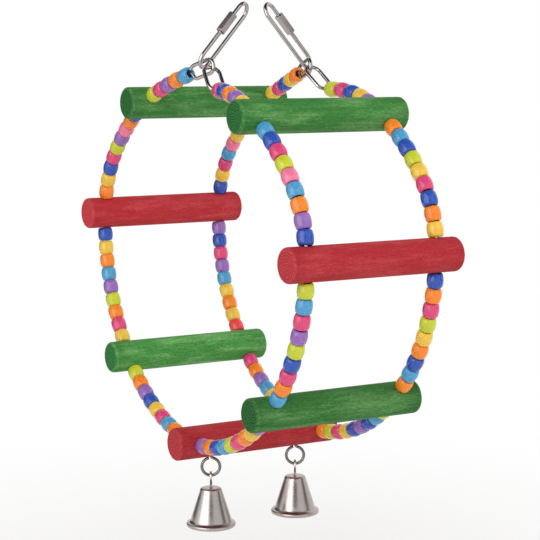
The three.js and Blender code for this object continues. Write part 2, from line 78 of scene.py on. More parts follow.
# Hoops
HOOP_SPACING = PERCH_LENGTH - 2 * PERCH_OVERHANG
WIRE_DIAMETER = 2.2
TOP_GAP = 32
SHOULDER_OFFSET = 53
SHOULDER_ANGLE = math.radians(92.5)
TOP_ANGLE = math.radians(48.5)
TOP_DRAW_IN = 4.5
TOP_RISE = 4
BALANCE_DROP = 31
HEADING_STEP = 0.1

# Wire eyes at the top ends of the hoops
REAR_EYE_HOLE = 5.8
REAR_EYE_LENGTH = 20.5
FRONT_EYE_HOLE = 7.4
EYE_BEND = 4.5
EYE_TUCK_START = 4.6
EYE_TUCK_RADIUS = 6
EYE_TUCK_ANGLE = math.radians(43)
EYE_LINK_SEAT = 13.5
EYE_LINK_PLAY = 1.35
EYE_HANG_ANGLE = math.radians(-40)

# Quick links and their nuts
LINK_LENGTH = 48
LINK_WIDTH = 12.8
LINK_WIRE = 2.4
LINK_TWIST = math.radians(35)
LINK_TOP_SPACING = 13
LINK_GATE = 8
LINK_GATE_OFFSET = 5.5
THREAD_TURNS = 12
THREAD_PITCH = 0.7
THREAD_CREST = 0.3
THREAD_START = 0.3
NUT_LENGTH = 13
NUT_FLATS = 5.2
NUT_CHAMFER = 0.35
NUT_BEVEL = 0.15

# Screw eyes. The neck's points lie aside of the shank and above the ring
SCREW_EYE_INSET = 12
SCREW_EYE_SPACING = HOOP_SPACING - 2 * SCREW_EYE_INSET
SCREW_EYE_DIAMETER = 12.4
SCREW_EYE_WIRE = 1.8
SCREW_EYE_DEPTH = 12
SCREW_EYE_TURN = math.radians(-30)
SCREW_EYE_NECK = ((0, 1.6), (0.15, 0.8), (0.6, 0.2))
SHANK_END_GAP = 1

# Bells, their hangers and clappers
HANGER_WIRE = 1.4
HANGER_TOP_LOOP = 6.2
HANGER_LOWER_LOOP = 5.8
HANGER_DROP = 6.4
BELL_HEIGHT = 23
BELL_TOP_DIAMETER = 13
BELL_WAIST_DIAMETER = 23.6
BELL_MOUTH_DIAMETER = 29
BELL_LIP_HEIGHT = 4.6
BELL_RIM_HEIGHT = 2.4
BELL_SHOULDER = 1.6
BELL_WALL = 0.9
BELL_FLARE_SHARE = 0.7
BELL_SIDE_SHARES = (0.2, 0.4, 0.6, 0.8)
BELL_INNER_EDGE = 0.4
CLAPPER_WIRE = 1.2
CLAPPER_EYE = 5
CLAPPER_BALL = 6
CLAPPER_INSET = 4.5

# Loops bent in wire: where they start, and how far they run, in degrees from the top
RING_BEND = (12, 336)
STEM_BEND = (-150, 330)
END_BEND = (0, 335)

# Fineness: sides of round pieces, steps along curves, and the angles from which an edge is sharp
PERCH_SIDES = 48
PERCH_EDGE_STEPS = 4
PERCH_BANDS = 4
DRILL_SIDES = 24
BEAD_SIDES = 16
BEAD_EDGE_STEPS = 4
BEAD_SECTION_POINTS = 22
WIRE_SIDES = 14
HOOP_STEPS = 140
EYE_BEND_STEPS = 8
EYE_BOW_STEPS = 18
EYE_TUCK_STEPS = 4
LINK_SIDES = 18
LINK_BOW_STEPS = 20
THREAD_SIDES = 6
THREAD_STEPS = 12
NUT_SIDES = 24
NUT_BEVEL_STEPS = 2
RING_STEPS = 44
LOOP_STEPS = 28
HANGER_SIDES = 12
BELL_SIDES = 64
BELL_CURVE_STEPS = 6
CLAPPER_SIDES = 10
BALL_SIDES = 24
BALL_STEPS = 12
CREASE = math.radians(35)
NUT_CREASE = math.radians(25)
BELL_CREASE = math.radians(50)

X_AXIS = Vector((1, 0, 0))
Y_AXIS = Vector((0, 1, 0))
Z_AXIS = Vector((0, 0, 1))
HANDS = {"left": -1, "right": 1}
BODY_OF = {
    node: body
    for body, nodes in frame["record"]["behaviour"]["bodies"].items()
    for node in nodes
}

# Bead colours along each strand, from its rear end to its front end
BEAD_COLOURS = {
    "B": "#3057B7",
    "L": "#53A2D0",
    "O": "#FF8D26",
    "Y": "#F3C84A",
    "G": "#CCD336",
    "M": "#E14B7F",
    "K": "#F781A3",
    "P": "#9A6FBA",
    "R": "#F4504A",
}
BEADS = {
    "left": {
        "rear_top": "LOPMG",
        "rear_upper": "BOKPGMBYO",
        "rear_middle": "BYOLPGOMY",
        "rear_lower": "GOPBYMLOP",
        "front_lower": "POBLGMOYP",
        "front_middle": "LOMBGPMLG",
        "front_upper": "BPOLKGMBL",
        "front_top": "YPOBM",
    },
    "right": {
        "rear_top": "OYBMY",
        "rear_upper": "BGOYKLMYB",
        "rear_middle": "PBMPLYOYR",
        "rear_lower": "MOPLYBOGM",
        "front_lower": "OGMYBPBLG",
        "front_middle": "OLBOYGMOB",
        "front_upper": "YOBMYGBLO",
        "front_top": "PYBMG",
    },
}
SPANS = ("rear_upper", "rear_middle", "rear_lower", "front_lower", "front_middle", "front_upper")

# Perches, by the spans of wire between them and the bottom one
PERCHES = {
    "rear_top": -3,
    "rear_middle": -2,
    "rear_lower": -1,
    "bottom": 0,
    "front_lower": 1,
    "front_middle": 2,
    "front_top": 3,
}

# How bright each perch came out of its dip, as a share of the stain's own colour
PERCH_TONES = {
    "rear_top": 0.92,
    "rear_middle": 1.08,
    "rear_lower": 1.24,
    "bottom": 0.9,
    "front_lower": 0.78,
    "front_middle": 0.97,
    "front_top": 0.94,
}


# Small helpers

def colour(hex_code):
    """An sRGB hex colour as linear red, green, blue and alpha."""
    levels = [int(hex_code[i:i + 2], 16) / 255 for i in (1, 3, 5)]
    linear = [v / 12.92 if v <= 0.04045 else ((v + 0.055) / 1.055) ** 2.4 for v in levels]
    return (*linear, 1)


def add(tree, kind, inputs=None, **settings):
    """Adds a node, sets its properties and fills its inputs with values or links."""
    node = tree.nodes.new(kind)
    for name, value in settings.items():
        setattr(node, name, value)
    for key, source in (inputs or {}).items():
        if isinstance(source, bpy.types.NodeSocket):
            tree.links.new(source, node.inputs[key])
        else:
            node.inputs[key].default_value = source
    return node


def new_piece(name, points, edges=(), faces=()):
    """A mesh object whose points are given in millimetres in the part's frame."""
    mesh = bpy.data.meshes.new(name)
    mesh.from_pydata([Vector(p) * MM for p in points], edges, faces)
    piece = bpy.data.objects.new(name, mesh)
    bpy.context.scene.collection.objects.link(piece)
    return piece


def settle(piece):
    """Keeps what a piece's modifier makes as its plain mesh, without an empty first finish."""
    graph = bpy.context.evaluated_depsgraph_get()
    made = bpy.data.meshes.new_from_object(piece.evaluated_get(graph))
    made.name = piece.name
    if made.materials[0] is None:
        made.materials.pop(index=0)
    piece.modifiers.clear()
    piece.data = made
    return piece


def grow(piece, tree, values):
    """Runs a node tree on a piece with its named inputs set, and keeps the result."""
    modifier = piece.modifiers.new(tree.name, "NODES")
    modifier.node_group = tree
    for item in tree.interface.items_tree:
        if item.in_out == "INPUT" and item.name in values:
            modifier[item.identifier] = values[item.name]
    return settle(piece)


def mark(piece, name, kind, field, values):
    """Gives every point of a piece its own value under a name that trees and materials can read."""
    layer = piece.data.attributes.new(name, kind, "POINT")
    layer.data.foreach_set(field, [part for value in values for part in value])


def stand_for(piece, node):
    """The piece shows a CAD node and moves with its body."""
    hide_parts(node)
    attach(piece, BODY_OF[node])


def turned(name, profile, sides, place, finish, crease=CREASE, limit=lambda angle: math.inf):
    """A turned shape: a closed profile of (radius, height) pairs spun about Z, cut back to a
    largest radius that may depend on the angle, then placed."""
    points, rings, faces = [], [], []
    for radius, height in profile:
        count = 1 if radius == 0 else sides
        rings.append(range(len(points), len(points) + count))
        for k in range(count):
            angle = 2 * math.pi * k / sides
            reach = min(radius, limit(angle))
            spot = Vector((reach * math.cos(angle), reach * math.sin(angle), height))
            points.append(place @ spot)
    closed = profile[0][0] > 0
    for i in range(len(rings) - 1 + closed):
        low, high = rings[i], rings[(i + 1) % len(rings)]
        for k in range(sides):
            n = (k + 1) % sides
            corners = [low[k % len(low)], low[n % len(low)], high[n % len(high)], high[k % len(high)]]
            faces.append(list(dict.fromkeys(corners)))
    piece = new_piece(name, points, faces=faces)
    piece.data.materials.append(finish)
    piece.data.shade_smooth()
    piece.data.set_sharp_from_angle(angle=crease)
    return piece


# Shape of the hoops, in a frame at the hoop's centre: three arcs that run on into each other

PERCH_RADIUS = PERCH_DIAMETER / 2
SPAN = PERCH_DIAMETER + SPAN_BEADS * BEAD_LENGTH + 2 * SEAT_GAP
TOP_BEADS_START = PERCHES_EACH_WAY * SPAN + PERCH_RADIUS + SEAT_GAP
WIRE_END = TOP_BEADS_START + TOP_BEADS * BEAD_LENGTH
TOP_OFFSET = SHOULDER_OFFSET * math.sin(SHOULDER_ANGLE) / math.sin(TOP_ANGLE)
HOOP_RADIUS = (
    WIRE_END + TOP_GAP / 2 + SHOULDER_OFFSET * SHOULDER_ANGLE - TOP_OFFSET * TOP_ANGLE
) / math.pi
SHOULDER_RADIUS = HOOP_RADIUS - SHOULDER_OFFSET
TOP_RADIUS = SHOULDER_RADIUS + TOP_OFFSET
SHOULDER_CENTRE = (
    SHOULDER_OFFSET * math.sin(SHOULDER_ANGLE),
    SHOULDER_OFFSET * math.cos(SHOULDER_ANGLE),
)
TOP_CENTRE_HEIGHT = SHOULDER_CENTRE[1] - TOP_OFFSET * math.cos(TOP_ANGLE)


def half_hoop(distance):
    """Forward reach and height of the hoop at a distance along the wire from its bottom."""
    lower_arc = HOOP_RADIUS * (math.pi - SHOULDER_ANGLE)
    if distance <= lower_arc:
        angle = math.pi - distance / HOOP_RADIUS
        return HOOP_RADIUS * math.sin(angle), HOOP_RADIUS * math.cos(angle)
    shoulder_arc = SHOULDER_RADIUS * (SHOULDER_ANGLE - TOP_ANGLE)
    if distance <= lower_arc + shoulder_arc:
        angle = SHOULDER_ANGLE - (distance - lower_arc) / SHOULDER_RADIUS
        return (
            SHOULDER_CENTRE[0] + SHOULDER_RADIUS * math.sin(angle),
            SHOULDER_CENTRE[1] + SHOULDER_RADIUS * math.cos(angle),
        )
    angle = TOP_ANGLE - (distance - lower_arc - shoulder_arc) / TOP_RADIUS
    return TOP_RADIUS * math.sin(angle), TOP_CENTRE_HEIGHT + TOP_RADIUS * math.cos(angle)


def wire_point(station, side):
    """A point of the wire: stations run from the bottom, positive to the front."""
    forward, height = half_hoop(abs(station))
    front = math.copysign(1, station)
    past = max(0, abs(station) - TOP_BEADS_START) / (TOP_BEADS * BEAD_LENGTH)
    return Vector((
        side * (HOOP_SPACING / 2 - TOP_DRAW_IN * past ** 2),
        -front * forward,
        height - front * TOP_RISE * past ** 2,
    ))


def wire_heading(station, side):
    """The wire's direction there, towards rising stations."""
    ahead = wire_point(station + HEADING_STEP, side)
    behind = wire_point(station - HEADING_STEP, side)
    return (ahead - behind).normalized()


def square_to(direction, wished):
    """The unit vector square to a direction that is nearest to a wished one."""
    return (wished - wished.dot(direction) * direction).normalized()


def eye_points(start, heading, along, across, half_width, length):
    """One wire eye: out of the beads, round the tip, back, and tucked in against the last bead."""
    def place(a, c):
        return start + along * a + across * c

    corners = [start, start + heading * (EYE_BEND / 2),
               place(EYE_BEND / 2, -half_width), place(EYE_BEND, -half_width)]
    points = []
    for i in range(1, EYE_BEND_STEPS + 1):
        t = i / EYE_BEND_STEPS
        weights = [(1 - t) ** 3, 3 * t * (1 - t) ** 2, 3 * t * t * (1 - t), t ** 3]
        points.append(sum((c * w for c, w in zip(corners, weights)), Vector()))
    for i in range(EYE_BOW_STEPS + 1):
        turn = math.pi * i / EYE_BOW_STEPS
        points.append(place(length - half_width + half_width * math.sin(turn),
                            -half_width * math.cos(turn)))
    for i in range(EYE_TUCK_STEPS + 1):
        turn = EYE_TUCK_ANGLE * i / EYE_TUCK_STEPS
        points.append(place(EYE_TUCK_START - EYE_TUCK_RADIUS * math.sin(turn),
                            half_width - EYE_TUCK_RADIUS * (1 - math.cos(turn))))
    return points


def rear_eye(side):
    """Path of the rear eye, the seat of the quick link in it and the front eye's place."""
    start = wire_point(-WIRE_END, side)
    along = -wire_heading(-WIRE_END, side)
    across = square_to(along, Z_AXIS)
    half_width = (REAR_EYE_HOLE + WIRE_DIAMETER) / 2
    seat = start + along * EYE_LINK_SEAT + across * half_width
    reach = REAR_EYE_HOLE / 2 - WIRE_DIAMETER / 2 - SEAT_GAP
    hang = (start + along * (REAR_EYE_LENGTH - half_width + reach * math.cos(EYE_HANG_ANGLE))
            + across * (reach * math.sin(EYE_HANG_ANGLE)))
    return eye_points(start, along, along, across, half_width, REAR_EYE_LENGTH), seat, hang


def front_eye(side, hang):
    """Path of the front eye, which hangs in the tip of the rear one."""
    start = wire_point(WIRE_END, side)
    reach = hang - start
    along = reach.normalized()
    across = square_to(along, X_AXIS) * side
    half_width = (FRONT_EYE_HOLE + WIRE_DIAMETER) / 2
    return eye_points(start, wire_heading(WIRE_END, side), along, across, half_width, reach.length)


# Place of the ladder under its links: it tips until its balance point is below the rear eyes

EYE_SEAT = rear_eye(1)[1]
LINK_REACH = LINK_LENGTH - LINK_WIRE - (WIRE_DIAMETER + LINK_WIRE) / 2 - EYE_LINK_PLAY
LINK_LEAN = math.asin((EYE_SEAT.x - LINK_TOP_SPACING / 2) / LINK_REACH)
TIPPED = Matrix.Rotation(math.atan2(EYE_SEAT.y, EYE_SEAT.z + BALANCE_DROP), 4, "X")
HUNG_SEAT = TIPPED @ Vector((0, EYE_SEAT.y, EYE_SEAT.z))
HUNG_HEIGHT = LINK_WIRE / 2 - LINK_REACH * math.cos(LINK_LEAN)
LADDER = Matrix.Translation((0, -HUNG_SEAT.y, HUNG_HEIGHT - HUNG_SEAT.z)) @ TIPPED


# Materials. Their patterns' sizes are in millimetres

# Length, width and detail of the uneven stain, the soft bands, the fibres and the open pores.
# Real fibres and pores are too fine to show, so they are drawn coarser
BIRCH_GRAIN = ((30, 8, 1), (20, 2.5, 2), (6, 0.8, 4), (2, 0.4, 2))
RING_SPACING = 1.5
RING_WANDER = 2.0
RINGS_ON_SIDES = 0.06
RINGS_ON_ENDS = 0.5
DIP_DARKENING = 0.4
FLOW_MARKS = 4
DULL_METAL = 0.8
BRIGHT_METAL = 1.15


def material(name):
    """A new material, its node tree and its surface shader."""
    made = bpy.data.materials.new(name)
    made.use_nodes = True
    return made, made.node_tree, made.node_tree.nodes["Principled BSDF"]


def stained_birch(name, stain, dark, pale, end, ring):
    """Turned birch dipped in water stain: a dry matt skin, flecks and streaks along the grain
    where the stain soaked in, deeper towards the ends, and a painted highlight on the rounded end edges,
    in patches."""
    made, tree, surface = material(name)
    grain = add(tree, "ShaderNodeAttribute", attribute_name="grain").outputs["Vector"]
    ends = add(tree, "ShaderNodeAttribute", attribute_name="end_grain").outputs["Fac"]
    edges = add(tree, "ShaderNodeAttribute", attribute_name="edge_highlight").outputs["Fac"]
    dipped = add(tree, "ShaderNodeAttribute", attribute_name="dipped").outputs["Fac"]
    tone = add(tree, "ShaderNodeAttribute", attribute_name="stain_tone").outputs["Fac"]
    textures = []
    for length, width, detail in BIRCH_GRAIN:
        place = add(tree, "ShaderNodeVectorMath", {
            0: grain, 1: (1 / length, 1 / width, 1 / width)}, operation="MULTIPLY")
        noise = add(tree, "ShaderNodeTexNoise", {
            "Vector": place.outputs[0], "Scale": 1, "Detail": detail, "Roughness": 0.6})
        textures.append(noise.outputs["Fac"])
    wash, bands, fibres, pores = textures
    # Growth rings wander a little round the pith
    across = add(tree, "ShaderNodeVectorMath", {0: grain, 1: (0, 1, 1)}, operation="MULTIPLY")
    pith = add(tree, "ShaderNodeVectorMath", {0: across.outputs[0]}, operation="LENGTH")
    wander = add(tree, "ShaderNodeMath", {
        0: bands, 1: RING_WANDER, 2: pith.outputs["Value"]}, operation="MULTIPLY_ADD")
    phase = add(tree, "ShaderNodeMath", {
        0: wander.outputs[0], 1: 2 * math.pi / RING_SPACING}, operation="MULTIPLY")
    rings = add(tree, "ShaderNodeMath", {0: phase.outputs[0]}, operation="SINE").outputs[0]
    # Streaks: the stain is deep between the fibres
    ringed = add(tree, "ShaderNodeMath", {
        0: rings, 1: RINGS_ON_SIDES, 2: fibres}, operation="MULTIPLY_ADD")
    streaks = add(tree, "ShaderNodeMapRange", {
        "Value": ringed.outputs[0], "From Min": 0.08, "From Max": 0.76}).outputs["Result"]
    soaked = add(tree, "ShaderNodeMix", {
        "Factor": streaks, "A": colour(dark), "B": colour(stain)}, data_type="RGBA").outputs["Result"]
    # Paler where the stain is thin: in bands, in bare flecks and in broad patches
    thin = add(tree, "ShaderNodeMapRange", {
        "Value": bands, "From Min": 0.46, "From Max": 0.7, "To Max": 0.35}).outputs["Result"]
    bare = add(tree, "ShaderNodeMapRange", {
        "Value": pores, "From Min": 0.45, "From Max": 0.28, "To Max": 0.5}).outputs["Result"]
    light = add(tree, "ShaderNodeMapRange", {
        "Value": wash, "From Min": 0.35, "From Max": 0.65,
        "To Min": -0.25, "To Max": 0.22}).outputs["Result"]
    flecked = add(tree, "ShaderNodeMath", {0: thin, 1: bare}, operation="ADD").outputs[0]
    paler = add(tree, "ShaderNodeMath", {
        0: flecked, 1: light}, operation="ADD", use_clamp=True).outputs[0]
    washed = add(tree, "ShaderNodeMix", {
        "Factor": paler, "A": soaked, "B": colour(pale)}, data_type="RGBA").outputs["Result"]
    # Darker in open pores and near the ends
    open_pores = add(tree, "ShaderNodeMapRange", {
        "Value": pores, "From Min": 0.5, "From Max": 0.7, "To Max": 0.65}).outputs["Result"]
    depth = add(tree, "ShaderNodeMath", {
        0: dipped, 1: DIP_DARKENING, 2: open_pores}, operation="MULTIPLY_ADD", use_clamp=True).outputs[0]
    side = add(tree, "ShaderNodeMix", {
        "Factor": depth, "A": washed, "B": colour(dark)}, data_type="RGBA").outputs["Result"]
    # End faces show the rings
    sawn = add(tree, "ShaderNodeMath", {
        0: rings, 1: RINGS_ON_ENDS, 2: fibres}, operation="MULTIPLY_ADD").outputs[0]
    end_face = add(tree, "ShaderNodeMix", {
        "Factor": sawn, "A": colour(end), "B": colour(ring)}, data_type="RGBA").outputs["Result"]
    whole = add(tree, "ShaderNodeMix", {
        "Factor": ends, "A": side, "B": end_face}, data_type="RGBA").outputs["Result"]
    # Painted highlight: the rounded end edges are paler in patches, as where they catch the light, and
    # each perch took its own share of stain
    patches = add(tree, "ShaderNodeMapRange", {
        "Value": bands, "From Min": 0.3, "From Max": 0.7, "To Max": 0.4}).outputs["Result"]
    highlight_share = add(tree, "ShaderNodeMath", {0: edges, 1: patches}, operation="MULTIPLY").outputs[0]
    # Painted highlight: the pale colour is laid over the rounded end edges
    worn = add(tree, "ShaderNodeMix", {
        "Factor": highlight_share, "A": whole, "B": colour(pale)}, data_type="RGBA").outputs["Result"]
    toned = add(tree, "ShaderNodeVectorMath", {0: worn, "Scale": tone}, operation="SCALE")
    tree.links.new(toned.outputs[0], surface.inputs["Base Color"])
    rough = add(tree, "ShaderNodeMapRange", {
        "Value": fibres, "To Min": 0.85, "To Max": 0.6}).outputs["Result"]
    tree.links.new(rough, surface.inputs["Roughness"])
    surface.inputs["Specular IOR Level"].default_value = 0.15
    bump = add(tree, "ShaderNodeBump", {"Height": fibres, "Strength": 0.4, "Distance": 0.2 * MM})
    tree.links.new(bump.outputs["Normal"], surface.inputs["Normal"])
    return made


def moulded_acrylic():
    """Moulded acrylic beads: bright, glossy and a little clouded, so light glows through the rims."""
    made, tree, surface = material("moulded_acrylic")
    tint = add(tree, "ShaderNodeAttribute", attribute_name="tint").outputs["Color"]
    place = add(tree, "ShaderNodeTexCoord").outputs["Object"]
    # Flow marks of the moulding
    swirl = add(tree, "ShaderNodeTexNoise", {
        "Vector": place, "Scale": 1 / (FLOW_MARKS * MM), "Detail": 3, "Distortion": 1.2}).outputs["Fac"]
    shade = add(tree, "ShaderNodeMapRange", {
        "Value": swirl, "From Min": 0.3, "From Max": 0.7,
        "To Min": 0.93, "To Max": 1.06}).outputs["Result"]
    varied = add(tree, "ShaderNodeVectorMath", {0: tint, "Scale": shade}, operation="SCALE")
    tree.links.new(varied.outputs[0], surface.inputs["Base Color"])
    rough = add(tree, "ShaderNodeMapRange", {
        "Value": swirl, "To Min": 0.14, "To Max": 0.26}).outputs["Result"]
    tree.links.new(rough, surface.inputs["Roughness"])
    bump = add(tree, "ShaderNodeBump", {"Height": swirl, "Strength": 0.06, "Distance": 0.2 * MM})
    tree.links.new(bump.outputs["Normal"], surface.inputs["Normal"])
    surface.inputs["IOR"].default_value = 1.49
    surface.inputs["Subsurface Weight"].default_value = 0.4
    surface.inputs["Subsurface Radius"].default_value = (1.0, 0.8, 0.7)
    surface.inputs["Subsurface Scale"].default_value = 2 * MM
    return made


def plated(name, base, low_rough, high_rough, patch=4):
    """A plated or drawn metal skin: grey, mirror-like in patches and dulled by fine scratches,
    which are too fine to show, so their patches are drawn a few millimetres across."""
    made, tree, surface = material(name)
    place = add(tree, "ShaderNodeTexCoord").outputs["Object"]
    wear = add(tree, "ShaderNodeTexNoise", {
        "Vector": place, "Scale": 1 / (patch * MM), "Detail": 5, "Roughness": 0.65}).outputs["Fac"]
    rough = add(tree, "ShaderNodeMapRange", {
        "Value": wear, "From Min": 0.3, "From Max": 0.7,
        "To Min": low_rough, "To Max": high_rough}).outputs["Result"]
    tree.links.new(rough, surface.inputs["Roughness"])
    clean = colour(base)[:3]
    dull = (*[v * DULL_METAL for v in clean], 1)
    bright = (*[min(1, v * BRIGHT_METAL) for v in clean], 1)
    shade = add(tree, "ShaderNodeMix", {"Factor": wear, "A": dull, "B": bright}, data_type="RGBA")
    tree.links.new(shade.outputs["Result"], surface.inputs["Base Color"])
    surface.inputs["Metallic"].default_value = 1
    bump = add(tree, "ShaderNodeBump", {"Height": wear, "Strength": 0.02, "Distance": 0.1 * MM})
    tree.links.new(bump.outputs["Normal"], surface.inputs["Normal"])
    return made


green_wood = stained_birch("green_stained_birch", "#4B9147", "#2C682C", "#86BA74", "#174F22", "#36803D")
red_wood = stained_birch("red_stained_birch", "#BC343A", "#A0262E", "#D0565A", "#AE2A32", "#D1474E")
acrylic = moulded_acrylic()
# Hard-drawn wire and bright zinc: sharp light and dark lines along the bows
drawn_wire = plated("drawn_steel_wire", "#B2ADA9", 0.08, 0.15)
zinc_plate = plated("zinc_plated_steel", "#BCB6B4", 0.08, 0.15)
# Tumbled nuts: soft grey flats without a clear reflection
satin_zinc = plated("satin_zinc_plate", "#B9B0AF", 0.3, 0.38)
# Screw eyes are dark and glossy, hangers pale and softer
dark_nickel = plated("dark_nickel_wire", "#7D7873", 0.1, 0.2)
bright_nickel = plated("bright_nickel_wire", "#DDD5D4", 0.22, 0.34)
# Spun bells: one broad soft streak down the side
satin_nickel = plated("satin_nickel_plate", "#B4ABA8", 0.26, 0.33, patch=6)


# Node trees

def node_tree(name, sockets):
    """A tree with a mesh in and out and the given named inputs, and its input and output nodes."""
    tree = bpy.data.node_groups.new(name, "GeometryNodeTree")
    tree.interface.new_socket("Geometry", in_out="INPUT", socket_type="NodeSocketGeometry")
    tree.interface.new_socket("Geometry", in_out="OUTPUT", socket_type="NodeSocketGeometry")
    for label, kind in sockets.items():
        tree.interface.new_socket(label, in_out="INPUT", socket_type=kind)
    return tree, add(tree, "NodeGroupInput").outputs, add(tree, "NodeGroupOutput").inputs


def wire_tree():
    """A round wire along a path of joined points."""
    tree, given, result = node_tree("Wire along a path", {
        "Diameter": "NodeSocketFloat", "Sides": "NodeSocketInt", "Finish": "NodeSocketMaterial"})
    path = add(tree, "GeometryNodeMeshToCurve", {"Mesh": given["Geometry"]})
    radius = add(tree, "ShaderNodeMath", {0: given["Diameter"], 1: 0.5}, operation="MULTIPLY")
    section = add(tree, "GeometryNodeCurvePrimitiveCircle", {
        "Resolution": given["Sides"], "Radius": radius.outputs[0]})
    tube = add(tree, "GeometryNodeCurveToMesh", {
        "Curve": path.outputs["Curve"], "Profile Curve": section.outputs["Curve"], "Fill Caps": True})
    smooth = add(tree, "GeometryNodeSetShadeSmooth", {"Geometry": tube.outputs["Mesh"]})
    plain = add(tree, "GeometryNodeRealizeInstances", {"Geometry": smooth.outputs["Geometry"]})
    dressed = add(tree, "GeometryNodeSetMaterial", {
        "Geometry": plain.outputs["Geometry"], "Material": given["Finish"]})
    tree.links.new(dressed.outputs["Geometry"], result["Geometry"])
    return tree


def bead_tree():
    """A barrel bead on every point, its bore along the point's heading."""
    tree, given, result = node_tree("Beads on a wire", {
        "Length": "NodeSocketFloat", "Diameter": "NodeSocketFloat", "Bore": "NodeSocketFloat",
        "Bulge": "NodeSocketFloat", "Edge": "NodeSocketFloat", "Looseness": "NodeSocketFloat",
        "Seed": "NodeSocketInt", "Finish": "NodeSocketMaterial"})
    # Section of the bead wall: a bar with rounded corners
    walls = add(tree, "ShaderNodeMath", {0: given["Diameter"], 1: given["Bore"]}, operation="SUBTRACT")
    half_walls = add(tree, "ShaderNodeMath", {0: walls.outputs[0], 1: 0.5}, operation="MULTIPLY")
    thick = add(tree, "ShaderNodeMath", {
        0: half_walls.outputs[0], 1: given["Bulge"]}, operation="SUBTRACT")
    bar = add(tree, "GeometryNodeCurvePrimitiveQuadrilateral", {
        "Width": thick.outputs[0], "Height": given["Length"]})
    rounded = add(tree, "GeometryNodeFilletCurve", {
        "Curve": bar.outputs["Curve"], "Count": BEAD_EDGE_STEPS, "Radius": given["Edge"],
        "Limit Radius": True}, mode="POLY")
    spaced = add(tree, "GeometryNodeResampleCurve", {
        "Curve": rounded.outputs["Curve"], "Count": BEAD_SECTION_POINTS})
    # Its outer side bulges on a parabola, 1 - 4 y^2, that is full at the middle and none at the ends
    at = add(tree, "ShaderNodeSeparateXYZ", {0: add(tree, "GeometryNodeInputPosition").outputs[0]})
    share = add(tree, "ShaderNodeMath", {0: at.outputs["Y"], 1: given["Length"]}, operation="DIVIDE")
    square = add(tree, "ShaderNodeMath", {
        0: share.outputs[0], 1: share.outputs[0]}, operation="MULTIPLY")
    crown = add(tree, "ShaderNodeMath", {
        0: square.outputs[0], 1: -4.0, 2: 1.0}, operation="MULTIPLY_ADD")
    swell = add(tree, "ShaderNodeMath", {0: crown.outputs[0], 1: given["Bulge"]}, operation="MULTIPLY")
    outer = add(tree, "ShaderNodeMath", {0: at.outputs["X"], 1: 0.0}, operation="GREATER_THAN")
    push = add(tree, "ShaderNodeMath", {0: swell.outputs[0], 1: outer.outputs[0]}, operation="MULTIPLY")
    offset = add(tree, "ShaderNodeCombineXYZ", {"X": push.outputs[0]})
    section = add(tree, "GeometryNodeSetPosition", {
        "Geometry": spaced.outputs["Curve"], "Offset": offset.outputs[0]})
    # The section spun round the bore
    middle = add(tree, "ShaderNodeMath", {0: thick.outputs[0], 1: given["Bore"]}, operation="ADD")
    turn_radius = add(tree, "ShaderNodeMath", {0: middle.outputs[0], 1: 0.5}, operation="MULTIPLY")
    turn = add(tree, "GeometryNodeCurvePrimitiveCircle", {
        "Resolution": BEAD_SIDES, "Radius": turn_radius.outputs[0]})
    bead = add(tree, "GeometryNodeCurveToMesh", {
        "Curve": turn.outputs["Curve"], "Profile Curve": section.outputs["Geometry"]})
    smooth = add(tree, "GeometryNodeSetShadeSmooth", {"Geometry": bead.outputs["Mesh"]})
    # Threaded beads sit a little askew
    heading = add(tree, "GeometryNodeInputNamedAttribute", {"Name": "heading"}, data_type="FLOAT_VECTOR")
    askew = add(tree, "FunctionNodeRandomValue", {
        "Min": (-1, -1, -1), "Seed": given["Seed"]}, data_type="FLOAT_VECTOR")
    loose = add(tree, "ShaderNodeVectorMath", {
        0: askew.outputs["Value"], "Scale": given["Looseness"]}, operation="SCALE")
    leaning = add(tree, "ShaderNodeVectorMath", {
        0: heading.outputs["Attribute"], 1: loose.outputs[0]}, operation="ADD")
    aimed = add(tree, "FunctionNodeAlignRotationToVector", {"Vector": leaning.outputs[0]}, axis="Z")
    threaded = add(tree, "GeometryNodeInstanceOnPoints", {
        "Points": given["Geometry"], "Instance": smooth.outputs["Geometry"],
        "Rotation": aimed.outputs["Rotation"]})
    plain = add(tree, "GeometryNodeRealizeInstances", {"Geometry": threaded.outputs["Instances"]})
    dressed = add(tree, "GeometryNodeSetMaterial", {
        "Geometry": plain.outputs["Geometry"], "Material": given["Finish"]})
    tree.links.new(dressed.outputs["Geometry"], result["Geometry"])
    return tree


WIRE = wire_tree()
BEAD_ROW = bead_tree()


def wire_piece(name, points, diameter, finish, sides=WIRE_SIDES):
    """A piece of round wire along a row of points."""
    piece = new_piece(name, points, [(i, i + 1) for i in range(len(points) - 1)])
    return grow(piece, WIRE, {"Diameter": diameter * MM, "Sides": sides, "Finish": finish})


# Hoops and beads

def hoop_wire(hand, side):
    """One wire from the tip of its rear eye, round the hoop, to the tip of its front eye."""
    rear, _, hang = rear_eye(side)
    body = [wire_point(WIRE_END * (2 * i / HOOP_STEPS - 1), side) for i in range(HOOP_STEPS + 1)]
    points = rear[::-1] + body + front_eye(side, hang)
    piece = wire_piece(f"hoop_wire_{hand}", [LADDER @ p for p in points], WIRE_DIAMETER, drawn_wire)
    stand_for(piece, f"{hand}_wire_hoop")


def strand_start(place):
    """The station at the rear end of a strand of beads."""
    if place == "rear_top":
        return -WIRE_END
    if place == "front_top":
        return TOP_BEADS_START
    return (SPANS.index(place) - PERCHES_EACH_WAY) * SPAN + PERCH_RADIUS + SEAT_GAP


